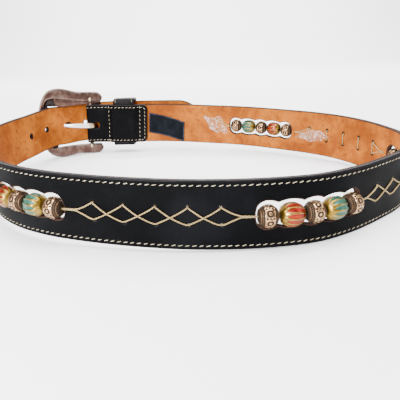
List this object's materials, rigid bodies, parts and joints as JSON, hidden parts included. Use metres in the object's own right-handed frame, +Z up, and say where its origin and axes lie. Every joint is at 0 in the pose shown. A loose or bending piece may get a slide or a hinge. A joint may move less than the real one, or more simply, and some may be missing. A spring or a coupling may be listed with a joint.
{
  "type": "beaded leather belt",
  "caption": "Fastened leather belt standing on its edge, black over a tan lining, with scalloped windows of strung metal and enamelled beads, crossed cord lacing and a heel-bar buckle.",
  "frame": {"origin": "bottom centre of the bounding box, on the surface that the belt rests on", "axes": "+X along the longest side of the loop, the buckle at the -X end of the back; +Y from the beaded front to the buckle side; +Z up, across the strap"},
  "size_m": [0.3172, 0.2487, 0.0683],
  "materials": {
    "face_leather": "smooth black grain leather with a soft sheen and painted edges",
    "lining_leather": "tan vegetable-tanned leather, mottled flesh grain",
    "woven_label": "dark woven patch, bare",
    "buckle_metal": "antique copper plate, darkened in the hollows",
    "prong_metal": "bright plated wire, rubbed",
    "bead_metal": "antique champagne metal with dark relief",
    "bead_red_enamel": "red to gold metallic enamel on fluted barrels",
    "bead_green_enamel": "green to gold metallic enamel on fluted barrels",
    "waxed_cord": "cream waxed cord and thread"
  },
  "bodies": {
    "root": {"strap_face": "face_leather", "strap_lining": "lining_leather", "keeper_loop": "face_leather", "blank_label": "woven_label", "buckle_frame": "buckle_metal", "buckle_prong": "prong_metal", "bead_cord_1": "waxed_cord", "bead_1a_gold": "bead_metal", "bead_1b_red": "bead_red_enamel", "bead_1c_gold": "bead_metal", "bead_1d_green": "bead_green_enamel", "bead_1e_gold": "bead_metal", "bead_cord_2": "waxed_cord", "bead_2a_gold": "bead_metal", "bead_2b_red": "bead_red_enamel", "bead_2c_gold": "bead_metal", "bead_2d_green": "bead_green_enamel", "bead_2e_gold": "bead_metal", "bead_cord_3": "waxed_cord", "bead_3a_gold": "bead_metal", "bead_3b_red": "bead_red_enamel", "bead_3c_gold": "bead_metal", "bead_3d_green": "bead_green_enamel", "bead_3e_gold": "bead_metal", "bead_cord_4": "waxed_cord", "bead_4a_gold": "bead_metal", "bead_4b_red": "bead_red_enamel", "bead_4c_gold": "bead_metal", "bead_4d_green": "bead_green_enamel", "bead_4e_gold": "bead_metal"}
  },
  "joints": []
}
